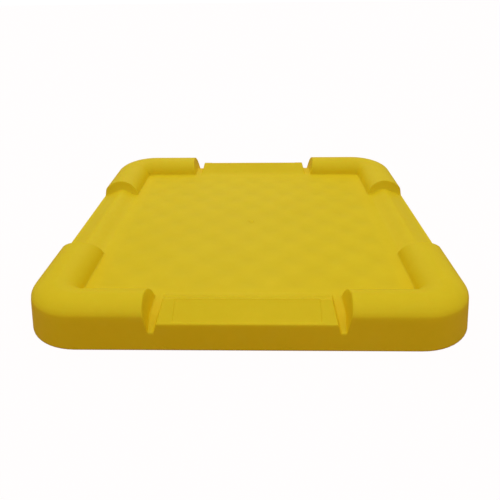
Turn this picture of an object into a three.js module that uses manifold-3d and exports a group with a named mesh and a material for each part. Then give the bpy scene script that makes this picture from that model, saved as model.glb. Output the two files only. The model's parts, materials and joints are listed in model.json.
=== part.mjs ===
// Low-profile spill containment pallet: a closed, lift-off polyethylene deck over a shallow sump.
// Millimetres, +Z up. The origin is on the floor, under the centre of the pallet.
// +X is right, +Y is the drain side, and the deck's skirt stands on the floor around the sump.

import * as THREE from 'three';
import { mergeVertices } from 'three/addons/utils/BufferGeometryUtils.js';
import Module from 'manifold-3d';

// ---- Driving dimensions -------------------------------------------------------------------

const WIDTH = 1600;                // overall plan size, both ways, at the foot of the skirt
const CORNER_RADIUS = 215;         // plan radius of the four outer corners at the floor
const GAP = 0.3;                   // clearance between pieces that touch

const DECK_TOP = 91;               // height of the flat deck field
const CREST = 161;                 // height of the corner bolsters
const TOP_SHEET = 6;               // wall of the upper moulding
const SKIRT_TOP = [781, 120];      // [half width, height] where the skirt turns into a bolster

const BOLSTER_FOOT = 612;          // half width of the deck field between the bolsters
const BOLSTER_CREST = [693, CREST];
const BOLSTER_INNER = [[615, 127], [645, 156]];  // Bezier handles, from the foot up to the crest
const BOLSTER_OUTER = [[725, CREST], [769, 147]];  // and from the crest down to the skirt
const END_GAP_HALF = 336;          // front and back: half gap between bolsters, at deck level
const END_GAP_DRAFT = 12;          // draft of those bolster ends, in degrees
const SIDE_GAP_HALF = 308;         // left and right: half gap between bolsters, at deck level
const SIDE_GAP_DRAFT = 20;

const SADDLE_CREST = [694, 119];   // low hump between the bolsters, left and right
const SADDLE_EDGE = [786, 87];
const SADDLE_INNER = [[640, DECK_TOP], [665, 119]];
const SADDLE_OUTER = [[711, 119], [734, 103]];

const BLOCK_HALF = 303;            // half length of the front and back blocks, at deck level
const BLOCK_DRAFT = 16;
const BLOCK_CREST = [692, 137];
const BLOCK_EDGE = [785, 96];
const PANEL_HALF = 248;            // blank sign panel sunk into each block's slope
const PANEL_DEPTH = 3;
const PANEL_REACH = [693.5, 775];  // distance from the centre where the panel starts and ends

const NOTCH_LIP = [726, 91];       // channel floor beside each block: where its ramp starts
const NOTCH_EDGE = [789, 64];      // and where it ends, in the face of the skirt
const GAP_FLOOR = 62;              // the gaps are first cut down to here, then filled again

const LOWER_SHEET_BOTTOM = 62;     // second wall of the deck, fused to the first at its cones
const LOWER_SHEET = 4;
const LOWER_SHEET_HALF = 781;
const CONE_STEP = 87;              // half the spacing of the staggered cones, both ways
const CONE_COUNT = 13;             // rows and columns, every second crossing is used
const CONE_FOOT = 24;
const CONE_HEAD = 13;
const PIT_FOOT = 21;               // radii of the hollow inside each cone
const PIT_HEAD = 9;
const POCKET_LEAD = 8;             // a ramp's pocket starts this far out from the ramp's lip,
const POCKET_UNDER_BLOCK = 14;     // reaches this far under the block
const POCKET_UNDER_BOLSTER = 12;   // and this far under the bolster

const ARCH_HALF = 46;              // access arch in the back skirt, over the drain
const ARCH_HEAD_HALF = 40;
const ARCH_TOP = 56;
const ARCH_DEPTH = 60;             // how far in from the skirt's foot the arch is cut

const SUMP_FLOOR_HALF = 718;
const SUMP_TOP_HALF = 742;
const SUMP_RADIUS = 150;
const SUMP_WALL = 5;
const SUMP_RIM_HALF = 772;
const SUMP_RIM_TOP = LOWER_SHEET_BOTTOM - GAP;

const POST_ROWS = 4;
const POST_PITCH = 330;
const POST_RADIUS = 55;
const POST_WALL = 8;
const POST_BOSS_HEIGHT = 7;
const POST_FOOT = 4;               // height of a post's foot and how far it stands out
const BOSS_TAPER = 1;
const POST_LOOSE = 3;              // how loosely a post stands around its boss

const DRAIN_SEAT = SUMP_TOP_HALF;  // outer face of the pad that the drain fitting sits in
const DRAIN_PAD = 32;              // thickness of that pad
const DRAIN_PAD_HALF = 29;
const DRAIN_HEIGHT = 31;           // centre of the drain above the floor
const DRAIN_BORE = 10;             // radius of the fitting's threaded bore
const DRAIN_THREAD = 14;           // outer radius of the fitting's barrel
const DRAIN_FLANGE = 22;
const DRAIN_FLANGE_THICK = 4;
const DRAIN_GASKET = 2;
const DRAIN_NUT = 24;              // radius of the nut's corners
const DRAIN_NUT_THICK = 8;
const DRAIN_BARREL_END = 46;       // how far the barrel runs inwards from the seat
const DRAIN_PLUG_HEAD = 17;        // radius of the plug head's corners
const DRAIN_PLUG_HEAD_THICK = 8;
const DRAIN_PLUG_SHANK = 15;
const DRAIN_SEAL_CORD = 1.1;       // radius of the seal ring's round section
const SHANK_CHAMFER = 1;

const VENT_RADIUS = 12;            // push-in vent plug at the centre of the deck
const VENT_HEAD = 2.5;
const VENT_SINK = 3.3;             // depth of its seat, so that the head lies just under the deck field
const VENT_SEAT_LOOSE = 0.5;
const VENT_EDGE = 1;               // height of the head's rim, below its sloped edge
const VENT_SLOPE = 3;              // width of that sloped edge
const VENT_STEM = 5;
const VENT_BARB = 6.5;             // radius of the barb, and its height and the height of its tip
const VENT_BARB_HEIGHT = 5;
const VENT_TIP_HEIGHT = 4;
const VENT_TIP = 4;

const CONE_SIDES = 6;              // facets around each kind of turned form
const POST_SIDES = 12;
const BOSS_SIDES = 16;
const VENT_SIDES = 16;
const DRAIN_SIDES = 24;
const CORNER_SIDES = 32;

// ---- Materials ----------------------------------------------------------------------------

const material = (colour, roughness, metalness = 0) =>
  new THREE.MeshStandardMaterial({ color: colour, roughness, metalness });

const yellowPoly = () => material(0xeac016, 0.52);
const darkPoly = () => material(0x2b2d2f, 0.6);
const greyPoly = () => material(0x6f7375, 0.55);
const rubber = () => material(0x141414, 0.85);
const plugRed = () => material(0xa32018, 0.45);

// ---- Helpers ------------------------------------------------------------------------------

const wasm = await Module();
wasm.setup();

const HALF = WIDTH / 2;
const CORNER_AT = HALF - CORNER_RADIUS;
const DEEP = 10;                   // how far a cutter runs past the face that it opens
const radians = THREE.MathUtils.degToRad;
const tan = (degrees) => Math.tan(radians(degrees));

/** A three.js geometry as a solid that can be joined and cut. */
function solid(geometry) {
  const bare = geometry.clone();
  bare.deleteAttribute('normal');
  bare.deleteAttribute('uv');
  const merged = mergeVertices(bare, 1e-4);
  return new wasm.Manifold(new wasm.Mesh({
    numProp: 3,
    vertProperties: new Float32Array(merged.attributes.position.array),
    triVerts: new Uint32Array(merged.index.array),
  }));
}

/** A solid back as a three.js geometry, with flat faces. */
function geometryOf(body) {
  const mesh = body.getMesh();
  const geometry = new THREE.BufferGeometry();
  geometry.setAttribute('position', new THREE.BufferAttribute(mesh.vertProperties, 3));
  geometry.setIndex(new THREE.BufferAttribute(mesh.triVerts, 1));
  return geometry;
}

/** A box from its lowest to its highest corner. */
function box(low, high) {
  const size = high.map((value, axis) => value - low[axis]);
  const geometry = new THREE.BoxGeometry(...size);
  geometry.translate(...low.map((value, axis) => value + size[axis] / 2));
  return solid(geometry);
}

/** A section in (distance, height), drawn out along X from -length/2 to length/2, facing +Y. */
function drawnAlongX(section, length) {
  const shape = new THREE.Shape(section.map(([y, z]) => new THREE.Vector2(y, z)));
  const geometry = new THREE.ExtrudeGeometry(shape, { depth: length, bevelEnabled: false });
  geometry.translate(0, 0, -length / 2);
  // The shape's x becomes Y, its y becomes Z, and its depth becomes X.
  geometry.applyMatrix4(new THREE.Matrix4().set(0, 0, 1, 0, 1, 0, 0, 0, 0, 1, 0, 0, 0, 0, 0, 1));
  return solid(geometry);
}

/** A section in (across, height), drawn out along Y from start to end. */
function drawnAlongY(section, start, end) {
  const shape = new THREE.Shape(section.map(([x, z]) => new THREE.Vector2(x, z)));
  const depth = end - start;
  const geometry = new THREE.ExtrudeGeometry(shape, { depth, bevelEnabled: false });
  geometry.rotateX(Math.PI / 2);
  geometry.translate(0, end, 0);
  return solid(geometry);
}

/** A profile of [radius, height] pairs, from the axis to the axis, turned around Z. */
function turned(profile, segments) {
  const points = profile.map(([radius, height]) => new THREE.Vector2(radius, height));
  const geometry = new THREE.LatheGeometry(points, segments);
  geometry.rotateX(Math.PI / 2);
  return geometry;
}

/** A square with round corners, as a shape. */
function roundedSquare(half, radius) {
  const shape = new THREE.Shape();
  const side = half - radius;
  shape.moveTo(-side, -half);
  shape.lineTo(side, -half);
  shape.absarc(side, -side, radius, -Math.PI / 2, 0);
  shape.absarc(side, side, radius, 0, Math.PI / 2);
  shape.absarc(-side, side, radius, Math.PI / 2, Math.PI);
  shape.absarc(-side, -side, radius, Math.PI, 1.5 * Math.PI);
  return shape;
}

/** A slab with round corners whose half width goes from lowHalf to highHalf over its height. */
function draftedSlab(lowHalf, highHalf, radius, low, high) {
  const height = high - low;
  const settings = { depth: height, bevelEnabled: false, curveSegments: 6 };
  const geometry = new THREE.ExtrudeGeometry(roundedSquare(lowHalf, radius), settings);
  const position = geometry.attributes.position;
  for (let index = 0; index < position.count; index += 1) {
    const growth = 1 + (highHalf / lowHalf - 1) * (position.getZ(index) / height);
    position.setX(index, position.getX(index) * growth);
    position.setY(index, position.getY(index) * growth);
  }
  geometry.translate(0, 0, low);
  return solid(geometry);
}

/** The same outline moved inwards, to the right of its direction of travel, by a wall's thickness. */
function inset(outline, wall) {
  return outline.map(([x, z], index) => {
    const before = outline[Math.max(index - 1, 0)];
    const after = outline[Math.min(index + 1, outline.length - 1)];
    const run = after[0] - before[0];
    const rise = after[1] - before[1];
    const length = Math.hypot(run, rise);
    return [x + (wall * rise) / length, z - (wall * run) / length];
  });
}

const fourWays = (body) => [0, 90, 180, 270].map((turn) => body.rotate([0, 0, turn]));
const joined = (bodies) => bodies.reduce((whole, body) => whole.add(body));

// ---- Sections of the deck's rim, each from the deck field out to the foot of the skirt -------

/** Samples a path into [distance, height] pairs. */
function sampled(path, divisions) {
  return path.getPoints(divisions).map((point) => [point.x, point.y]);
}

function bolsterOutline() {
  const path = new THREE.Path();
  path.moveTo(BOLSTER_FOOT, DECK_TOP);
  path.bezierCurveTo(...BOLSTER_INNER.flat(), ...BOLSTER_CREST);
  path.bezierCurveTo(...BOLSTER_OUTER.flat(), ...SKIRT_TOP);
  return [...sampled(path, 6), [HALF, 0]];
}

function saddleOutline() {
  const path = new THREE.Path();
  path.moveTo(BOLSTER_FOOT, DECK_TOP);
  path.bezierCurveTo(...SADDLE_INNER.flat(), ...SADDLE_CREST);
  path.bezierCurveTo(...SADDLE_OUTER.flat(), ...SADDLE_EDGE);
  return [...sampled(path, 5), [HALF, 0]];
}

const blockOutline = () => [[BOLSTER_FOOT, DECK_TOP], BLOCK_CREST, BLOCK_EDGE, [HALF, 0]];
const notchOutline = () => [[BOLSTER_FOOT, DECK_TOP], NOTCH_LIP, NOTCH_EDGE, [HALF, 0]];

/** A rim section closed into a solid outline, with its face moved in by the wall. */
function rimSection(outline, wall, inner) {
  const face = inset(outline, wall);
  const [footAt, foot] = face[0];
  const ceiling = DECK_TOP - wall;
  const underFoot = foot > ceiling + 0.1 ? [[footAt, ceiling]] : [];
  const [edgeAt] = face[face.length - 1];
  const belowSkirt = wall > 0 ? [[edgeAt, -DEEP]] : [];
  const bottom = wall > 0 ? -DEEP : 0;
  return [[inner, bottom], ...belowSkirt, ...face.reverse(), ...underFoot, [inner, ceiling]];
}

// ---- The deck's form ------------------------------------------------------------------------

/**
 * The whole deck as a filled form. With wall 0 it is the outside of the moulding, and with the
 * sheet's thickness it is the hollow inside it.
 */
function deckForm(wall) {
  const bolster = bolsterOutline();
  const side = drawnAlongX(rimSection(bolster, wall, CORNER_AT), 2 * CORNER_AT);

  // Each corner is the same section turned around the centre of the corner's arc.
  const aroundCorner = rimSection(bolster, wall, CORNER_AT);
  const profile = aroundCorner.map(([distance, height]) => [Math.max(distance - CORNER_AT, 0), height]);
  const arc = solid(turned(profile, CORNER_SIDES)).translate([CORNER_AT, CORNER_AT, 0]);
  const quarter = box([CORNER_AT, CORNER_AT, -2 * DEEP], [HALF + DEEP, HALF + DEEP, CREST + DEEP]);
  const corner = arc.intersect(quarter);

  const bottom = wall > 0 ? -DEEP : 0;
  const field = box([-CORNER_AT, -CORNER_AT, bottom], [CORNER_AT, CORNER_AT, DECK_TOP - wall]);
  let form = joined([field, ...fourWays(side), ...fourWays(corner)]);

  // The gaps between the bolsters, with drafted ends, are cut down to a low floor.
  const gapCutter = (half, draft) => {
    const spread = wall / Math.cos(radians(draft));
    const atHeight = (height) => half + spread + (height - DECK_TOP) * tan(draft);
    const low = GAP_FLOOR - wall;
    const high = CREST + DEEP;
    const section = [[-atHeight(low), low], [atHeight(low), low], [atHeight(high), high],
      [-atHeight(high), high]];
    return drawnAlongY(section, BOLSTER_FOOT - 2 * DEEP, HALF + DEEP);
  };
  const endGap = gapCutter(END_GAP_HALF, END_GAP_DRAFT);
  const sideGap = gapCutter(SIDE_GAP_HALF, SIDE_GAP_DRAFT).rotate([0, 0, 90]);
  form = form.subtract(endGap).subtract(endGap.rotate([0, 0, 180]));
  form = form.subtract(sideGap).subtract(sideGap.rotate([0, 0, 180]));

  // Each gap is filled again with its own section: channel floors and a block, or a saddle.
  const filled = BOLSTER_FOOT - 3 * DEEP;
  const channel = drawnAlongX(rimSection(notchOutline(), wall, filled), 2 * (END_GAP_HALF + 2 * wall));
  const blockRim = drawnAlongX(rimSection(blockOutline(), wall, filled), 2 * END_GAP_HALF);
  const atHeight = (height) =>
    BLOCK_HALF - wall / Math.cos(radians(BLOCK_DRAFT)) - (height - DECK_TOP) * tan(BLOCK_DRAFT);
  const low = bottom - 1;
  const high = CREST;
  const ends = drawnAlongY([[-atHeight(low), low], [atHeight(low), low], [atHeight(high), high],
    [-atHeight(high), high]], filled - 1, HALF + DEEP);
  const endRim = channel.add(blockRim.intersect(ends)).subtract(signPanel(wall));
  const saddleHalf = SIDE_GAP_HALF + (SADDLE_CREST[1] - DECK_TOP) * tan(SIDE_GAP_DRAFT) + 2 * wall;
  const saddle = drawnAlongX(rimSection(saddleOutline(), wall, filled), 2 * saddleHalf);
  const sideRim = saddle.rotate([0, 0, 90]);
  return joined([form, endRim, endRim.rotate([0, 0, 180]), sideRim, sideRim.rotate([0, 0, 180])]);
}

/** The blank panel sunk into a block's slope; the hollow under it sinks by the same depth. */
function signPanel(wall) {
  const [crestAt, crest] = BLOCK_CREST;
  const [edgeAt, edge] = BLOCK_EDGE;
  const slope = (edge - crest) / (edgeAt - crestAt);
  const [start, end] = PANEL_REACH;
  const onSlope = (distance) => crest + (distance - crestAt) * slope - PANEL_DEPTH - wall;
  const section = [[start, onSlope(start)], [end, onSlope(end)], [end, CREST], [start, CREST]];
  return drawnAlongX(section, 2 * (PANEL_HALF + wall));
}

// ---- Pieces ---------------------------------------------------------------------------------

const pallet = new THREE.Group();

function addPiece(name, geometry, finish, parent = pallet) {
  const mesh = new THREE.Mesh(geometry, finish);
  mesh.name = name;
  parent.add(mesh);
  return mesh;
}

/** Upper moulding: deck field, bolsters, blocks, saddles and skirt in one wall. */
function deckTopSheet() {
  const arch = drawnAlongY([[-ARCH_HALF, -DEEP], [ARCH_HALF, -DEEP], [ARCH_HEAD_HALF, ARCH_TOP],
    [-ARCH_HEAD_HALF, ARCH_TOP]], HALF - ARCH_DEPTH, HALF + DEEP);
  const ventSeat = DECK_TOP - VENT_SINK;
  const holeRadius = VENT_STEM + GAP;
  const seatRadius = VENT_RADIUS + VENT_SEAT_LOOSE;
  const ventHole = solid(turned([[0, 0], [holeRadius, 0], [holeRadius, ventSeat],
    [seatRadius, ventSeat], [seatRadius, CREST], [0, CREST]], VENT_SIDES));
  return deckForm(0).subtract(deckForm(TOP_SHEET)).subtract(arch).subtract(ventHole);
}

/** Lower moulding: a flat sheet with hollow cones that reach up to the deck field. */
function deckLowerSheet() {
  const top = LOWER_SHEET_BOTTOM + LOWER_SHEET;
  const half = LOWER_SHEET_HALF;
  const plate = draftedSlab(half, half, CORNER_RADIUS - (HALF - half), LOWER_SHEET_BOTTOM, top);
  const head = DECK_TOP - TOP_SHEET - GAP;
  const cone = solid(turned([[0, top - 1], [CONE_FOOT, top - 1], [CONE_HEAD, head], [0, head]],
    CONE_SIDES));
  const pit = solid(turned([[0, LOWER_SHEET_BOTTOM - 1], [PIT_FOOT, LOWER_SHEET_BOTTOM - 1],
    [PIT_HEAD, head - LOWER_SHEET], [0, head - LOWER_SHEET]], CONE_SIDES));
  const middle = (CONE_COUNT - 1) / 2;
  const cones = [];
  const pits = [];
  for (let row = 0; row < CONE_COUNT; row += 1) {
    for (let column = row % 2; column < CONE_COUNT; column += 2) {
      const place = [(column - middle) * CONE_STEP, (row - middle) * CONE_STEP, 0];
      const isVent = row === middle && column === middle;
      if (!isVent) {
        cones.push(cone.translate(place));
        pits.push(pit.translate(place));
      }
    }
  }
  // Pockets clear the four channel ramps, which come down through this sheet.
  const pocket = box([BLOCK_HALF - POCKET_UNDER_BLOCK, NOTCH_LIP[0] + POCKET_LEAD, 0],
    [END_GAP_HALF + POCKET_UNDER_BOLSTER, HALF, CREST]);
  const pockets = [pocket, pocket.mirror([1, 0, 0]), pocket.mirror([0, 1, 0]), pocket.rotate([0, 0, 180])];
  return plate.add(wasm.Manifold.union(cones)).subtract(wasm.Manifold.union([...pits, ...pockets]));
}

/** Where the support posts stand. */
function postPlaces() {
  const middle = (POST_ROWS - 1) / 2;
  const steps = Array.from({ length: POST_ROWS }, (_, index) => (index - middle) * POST_PITCH);
  return steps.flatMap((y, row) => steps.map((x, column) => ({ x, y, row, column })));
}

/** Open tray that holds the spill, with a rim under the deck and a boss for each post. */
function sumpBasin() {
  const height = SUMP_RIM_TOP;
  const outside = draftedSlab(SUMP_FLOOR_HALF, SUMP_TOP_HALF, SUMP_RADIUS, 0, height);
  const rimRadius = SUMP_RADIUS + SUMP_RIM_HALF - SUMP_TOP_HALF;
  const rim = draftedSlab(SUMP_RIM_HALF, SUMP_RIM_HALF, rimRadius, height - SUMP_WALL, height);
  const inside = draftedSlab(SUMP_FLOOR_HALF - SUMP_WALL, SUMP_TOP_HALF - SUMP_WALL,
    SUMP_RADIUS - SUMP_WALL, SUMP_WALL, height + 1);
  const bossRadius = POST_RADIUS - POST_WALL - POST_LOOSE;
  const bossTop = SUMP_WALL + POST_BOSS_HEIGHT;
  const boss = solid(turned([[0, SUMP_WALL - 1], [bossRadius, SUMP_WALL - 1],
    [bossRadius - BOSS_TAPER, bossTop], [0, bossTop]], BOSS_SIDES));
  const bosses = postPlaces().map(({ x, y }) => boss.translate([x, y, 0]));
  const boreRadius = DRAIN_THREAD + GAP;
  const bore = solid(turned([[0, -2 * DRAIN_PAD], [boreRadius, -2 * DRAIN_PAD], [boreRadius, DEEP],
    [0, DEEP]], DRAIN_SIDES));
  const drainBore = bore.rotate([-90, 0, 0]).translate([0, DRAIN_SEAT, DRAIN_HEIGHT]);
  // A thick pad in the drafted wall gives the drain's flange and nut a square seat.
  const pad = box([-DRAIN_PAD_HALF, DRAIN_SEAT - DRAIN_PAD, SUMP_WALL - 1],
    [DRAIN_PAD_HALF, DRAIN_SEAT, SUMP_RIM_TOP - 1]);
  return outside.add(rim).subtract(inside).add(pad).add(wasm.Manifold.union(bosses)).subtract(drainBore);
}

/** Short tube that carries the deck over the sump floor. */
function supportPost() {
  const inner = POST_RADIUS - POST_WALL;
  const low = SUMP_WALL + GAP;
  const high = LOWER_SHEET_BOTTOM - GAP;
  const foot = POST_RADIUS + POST_FOOT;
  return turned([[inner, low], [foot, low], [foot, low + POST_FOOT], [POST_RADIUS, low + 2 * POST_FOOT],
    [POST_RADIUS, high], [inner, high], [inner, low]], POST_SIDES);
}

/** A turned piece of the drain, with its axis along +Y and its zero on the seat's outer face. */
function onDrain(geometry) {
  geometry.rotateX(-Math.PI / 2);
  geometry.translate(0, DRAIN_SEAT, DRAIN_HEIGHT);
  return geometry;
}

/** A plain ring between two radii, from low to high along Z. */
function ring(inner, outer, low, high) {
  return turned([[inner, low], [outer, low], [outer, high], [inner, high], [inner, low]],
    DRAIN_SIDES);
}

/** A hexagonal ring, or a hexagonal head when it has no bore, from low to high along Z. */
function hexagon(corner, bore, low, high) {
  const settings = { depth: high - low, bevelEnabled: false, curveSegments: DRAIN_SIDES / 2 };
  const outline = Array.from({ length: 6 }, (_, side) => {
    const angle = (side * Math.PI) / 3;
    return new THREE.Vector2(corner * Math.cos(angle), corner * Math.sin(angle));
  });
  const shape = new THREE.Shape(outline);
  if (bore > 0) {
    shape.holes.push(new THREE.Path().absarc(0, 0, bore, 0, 2 * Math.PI, true));
  }
  const geometry = new THREE.ExtrudeGeometry(shape, settings);
  geometry.translate(0, 0, low);
  return geometry;
}

// Distances along the drain's axis, outwards from the seat: gasket, flange, seal ring, plug head.
const FLANGE_AT = DRAIN_GASKET + 2 * GAP;
const FLANGE_END = FLANGE_AT + DRAIN_FLANGE_THICK;
const PLUG_AT = FLANGE_END + 2 * DRAIN_SEAL_CORD + 2 * GAP;

function drainBody() {
  return onDrain(turned([[DRAIN_BORE, -DRAIN_BARREL_END], [DRAIN_THREAD, -DRAIN_BARREL_END],
    [DRAIN_THREAD, FLANGE_AT], [DRAIN_FLANGE, FLANGE_AT], [DRAIN_FLANGE, FLANGE_END],
    [DRAIN_BORE, FLANGE_END], [DRAIN_BORE, -DRAIN_BARREL_END]], DRAIN_SIDES));
}

function drainGasket() {
  return onDrain(ring(DRAIN_THREAD + GAP, DRAIN_FLANGE, GAP, GAP + DRAIN_GASKET));
}

function drainLocknut() {
  const high = -DRAIN_PAD - GAP;
  return onDrain(hexagon(DRAIN_NUT, DRAIN_THREAD + GAP, high - DRAIN_NUT_THICK, high));
}

function drainPlug() {
  const head = solid(hexagon(DRAIN_PLUG_HEAD, 0, PLUG_AT, PLUG_AT + DRAIN_PLUG_HEAD_THICK));
  const shankRadius = DRAIN_BORE - GAP;
  const shankEnd = FLANGE_END - DRAIN_PLUG_SHANK;
  const shank = solid(turned([[0, shankEnd], [shankRadius - SHANK_CHAMFER, shankEnd],
    [shankRadius, shankEnd + SHANK_CHAMFER], [shankRadius, PLUG_AT + 1], [0, PLUG_AT + 1]], DRAIN_SIDES));
  return onDrain(geometryOf(head.add(shank)));
}

function drainSealRing() {
  const geometry = new THREE.TorusGeometry(DRAIN_BORE + 2 * DRAIN_SEAL_CORD, DRAIN_SEAL_CORD, 8, DRAIN_SIDES);
  geometry.translate(0, 0, FLANGE_END + GAP + DRAIN_SEAL_CORD);
  return onDrain(geometry);
}

/** Push-in plug whose barbed stem holds under the upper moulding. */
function ventPlug() {
  const seat = DECK_TOP - VENT_SINK + GAP;
  const under = DECK_TOP - TOP_SHEET - 1;
  const barbFoot = under - VENT_BARB_HEIGHT;
  const tip = barbFoot - VENT_TIP_HEIGHT;
  return turned([[0, tip], [VENT_TIP, tip], [VENT_BARB, barbFoot], [VENT_BARB, under],
    [VENT_STEM, under], [VENT_STEM, seat], [VENT_RADIUS, seat], [VENT_RADIUS, seat + VENT_EDGE],
    [VENT_RADIUS - VENT_SLOPE, seat + VENT_HEAD], [0, seat + VENT_HEAD]], VENT_SIDES);
}

// ---- Assembly: what stays on the floor, what unscrews, and what lifts off --------------------

addPiece('sump_basin', geometryOf(sumpBasin()), darkPoly());
postPlaces().forEach(({ x, y, row, column }) => {
  const post = addPiece(`support_post_r${row + 1}_c${column + 1}`, supportPost(), greyPoly());
  post.position.set(x, y, 0);
});

const drain = new THREE.Group();
pallet.add(drain);
addPiece('drain_body', drainBody(), greyPoly(), drain);
addPiece('drain_gasket', drainGasket(), rubber(), drain);
addPiece('drain_locknut', drainLocknut(), greyPoly(), drain);
addPiece('drain_seal_ring', drainSealRing(), rubber(), drain);
addPiece('drain_plug', drainPlug(), plugRed(), drain);

const deck = new THREE.Group();
pallet.add(deck);
addPiece('deck_top_sheet', geometryOf(deckTopSheet()), yellowPoly(), deck);
addPiece('deck_lower_sheet', geometryOf(deckLowerSheet()), yellowPoly(), deck);
addPiece('deck_vent_plug', ventPlug(), yellowPoly(), deck);

export default pallet;
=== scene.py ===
# %% [markdown]
# # A low spill containment pallet in moulded polyethylene
#
# The pallet is a shallow sump that stands on the floor and a closed deck that lifts off it. The deck is
# one yellow moulding: a flat field, a thick L-shaped bolster at each corner, a block in the middle of
# the front and back, a low saddle at the left and right, and a skirt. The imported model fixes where
# everything is, so it is loaded first, and its box is kept.

import json
import math

import bmesh
import bpy
import numpy as np
from mathutils import Euler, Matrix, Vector


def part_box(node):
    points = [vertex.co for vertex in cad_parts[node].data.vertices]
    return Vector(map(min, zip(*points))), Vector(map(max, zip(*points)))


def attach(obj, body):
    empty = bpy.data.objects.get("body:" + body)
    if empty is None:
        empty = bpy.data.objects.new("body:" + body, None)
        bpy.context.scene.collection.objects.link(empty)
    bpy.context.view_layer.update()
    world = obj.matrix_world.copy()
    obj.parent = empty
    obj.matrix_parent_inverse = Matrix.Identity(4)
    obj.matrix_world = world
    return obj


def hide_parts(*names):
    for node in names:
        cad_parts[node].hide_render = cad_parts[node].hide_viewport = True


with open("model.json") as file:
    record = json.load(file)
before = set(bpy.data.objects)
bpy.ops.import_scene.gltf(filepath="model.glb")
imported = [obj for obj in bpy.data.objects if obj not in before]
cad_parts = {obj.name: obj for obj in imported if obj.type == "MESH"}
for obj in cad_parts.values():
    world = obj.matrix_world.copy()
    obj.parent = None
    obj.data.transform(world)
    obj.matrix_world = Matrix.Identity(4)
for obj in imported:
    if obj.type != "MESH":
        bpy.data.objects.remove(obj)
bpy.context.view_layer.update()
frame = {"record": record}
mounts = {mount["name"]: mount for mount in frame["record"]["mounts"]}

# %% [markdown]
# ## The drawing's dimensions
#
# Shapes are worked out in millimetres and turned into metres in one place, when a mesh is made. The
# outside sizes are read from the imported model; the others are the sections that the mould is cut to.
# `t` is always the distance outwards from the middle line, so `t = HALF` is the foot of the skirt.

# %% Dimensions of the deck moulding
MM = 0.001

deck_high = np.array(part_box("deck_top_sheet")[1]) / MM
under_low, under_high = (np.array(corner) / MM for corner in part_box("deck_lower_sheet"))
HALF = deck_high[0]                    # half width at the foot of the skirt
CREST = deck_high[2]                   # height of the corner bolsters
DECK = mounts["deck_field"]["pos_m"][2] / MM
WALL = 6.0                             # thickness of the upper wall
CORNER = 215.0                         # plan radius of the corners at the floor
ARM = HALF - CORNER                    # centre of each corner's arc

SKIRT_TOP = (781.0, 120.0)             # where the skirt turns into a bolster
BOLSTER = ((612, DECK), (615, 127), (645, 156), (693, CREST), (725, CREST), (769, 147), SKIRT_TOP)
SADDLE = ((612, DECK), (640, DECK), (665, 119), (694, 119), (711, 119), (734, 103), (786, 87))
BLOCK = ((612, DECK), (692, 137), (785, 96))
CHANNEL = ((726, DECK), (789, 64))

END_GAP, END_DRAFT = 336.0, 12.0       # front and back: bolster ends at deck level, and their draft
SIDE_GAP, SIDE_DRAFT = 308.0, 20.0     # left and right
BLOCK_END, BLOCK_DRAFT = 303.0, 16.0
PANEL_END, PANEL_NEAR, PANEL_FAR, PANEL_DEEP = 248.0, 693.5, 775.0, 3.0
ARCH_FOOT, ARCH_HEAD, ARCH_TOP = 46.0, 40.0, 56.0
MARK_STEP, MARK_ROWS = 87.0, 13        # half pitch and rows of the staggered kiss-off marks
SKIRT_DRAFT = (HALF - SKIRT_TOP[0]) / SKIRT_TOP[1]

# Sizes of the soft creases, where two heights meet.
CHANNEL_ROOT, RAIL_CREASE, BOLSTER_CREASE = 8.0, 12.0, 9.0
BLOCK_RIDGE, BLOCK_EDGE, PANEL_EDGE = 5.0, 7.0, 3.0
END_EDGE, SIDE_EDGE, SADDLE_ROOT, SKIRT_EDGE = 13.0, 5.0, 1.0, 12.0
print("half", HALF, "crest", CREST, "deck", DECK)

# %% [markdown]
# ## Meeting heights softly
#
# A moulding pulls straight up out of its mould, so its outside has one height at each place in plan.
# Each feature is a height of its own: features are joined by taking the higher, and cut by taking the
# lower. Plain `min` and `max` would leave knife edges, so the soft ones below round the crease, like
# the radius that a mould-maker grinds into every corner.

# %% Soft minimum and maximum
def soft_min(a, b, blend):
    """The lower of a and b; where they differ by less than blend, a parabola joins them."""
    mix = np.clip(0.5 + 0.5 * (b - a) / blend, 0.0, 1.0)
    return b * (1 - mix) + a * mix - blend * mix * (1 - mix)


def soft_max(a, b, blend):
    """The higher of a and b, joined the same way from above."""
    return -soft_min(-a, -b, blend)


def ramp_step(value, edge, width):
    """0 below edge, 1 above it, with a smooth cubic rise of the given width centred on the edge."""
    x = np.clip((value - edge) / width + 0.5, 0.0, 1.0)
    return x * x * (3 - 2 * x)


print("soft_min(10, 10, 8) =", soft_min(10.0, 10.0, 8.0))

# %% [markdown]
# ## Sections of the rim
#
# The bolster and the saddle are smooth humps, each two cubic Bezier curves that meet at the crest. A
# curve is sampled, then read back as a height at any `t`. The inside face is the same curve moved
# along its own normal, so the wall has an even thickness on the steep flanks too.

# %% Sections as heights
def bezier_section(points, samples=160):
    """Two cubic Bezier pieces sharing their middle point, as arrays of t and height."""
    s = np.linspace(0.0, 1.0, samples)[:, None]
    weights = np.hstack([(1 - s) ** 3, 3 * s * (1 - s) ** 2, 3 * s * s * (1 - s), s ** 3])
    first = weights @ np.array(points[0:4], float)
    second = weights @ np.array(points[3:7], float)
    return np.vstack([first, second[1:]]).T


def section_height(points, t, wall):
    """Height of a hump's face at t, with the face moved inwards along its normal by wall.

    Beyond both ends the section carries on straight, at the slope it ends with.
    """
    along, height = bezier_section(points)
    run, rise = np.gradient(along), np.gradient(height)
    length = np.hypot(run, rise)
    along, height = along + wall * rise / length, height - wall * run / length
    z = np.interp(t, along, height)
    first = (height[1] - height[0]) / (along[1] - along[0])
    last = (height[-1] - height[-2]) / (along[-1] - along[-2])
    z = np.where(t < along[0], height[0] + (t - along[0]) * first, z)
    return np.where(t > along[-1], height[-1] + (t - along[-1]) * last, z)


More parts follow.
